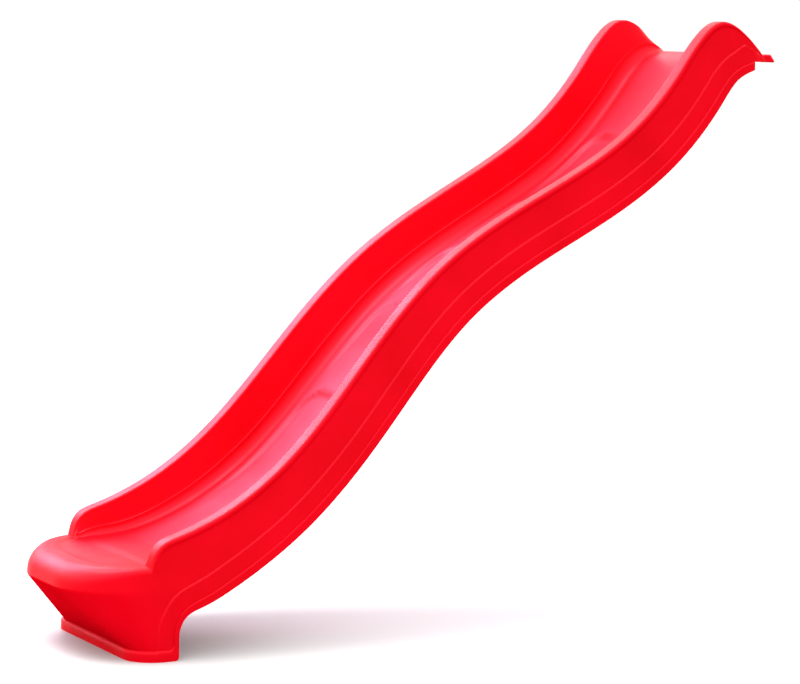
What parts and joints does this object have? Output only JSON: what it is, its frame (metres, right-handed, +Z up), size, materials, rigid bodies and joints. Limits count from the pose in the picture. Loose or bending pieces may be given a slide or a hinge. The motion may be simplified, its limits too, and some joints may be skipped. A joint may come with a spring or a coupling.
{
  "type": "wave slide",
  "caption": "One-piece moulded plastic wave slide with a box foot, waisted trough, rounded rims and a lip that screws down on a raised play platform.",
  "frame": {"origin": "on the ground, under the middle of the slide's overall length and on its mirror plane", "axes": "+X from the exit to the platform, +Y across the slide, +Z up"},
  "size_m": [1.73, 0.4792, 1.3411],
  "materials": {
    "slide_plastic": "smooth semi-gloss moulded polyethylene, coloured through",
    "cap_plastic": "fine satin moulded plastic",
    "zinc_steel": "zinc-plated, lightly grained"
  },
  "bodies": {
    "root": {"slide_body": "slide_plastic", "deck_screws": "zinc_steel", "deck_washers": "zinc_steel", "screw_caps": "cap_plastic"}
  },
  "joints": []
}
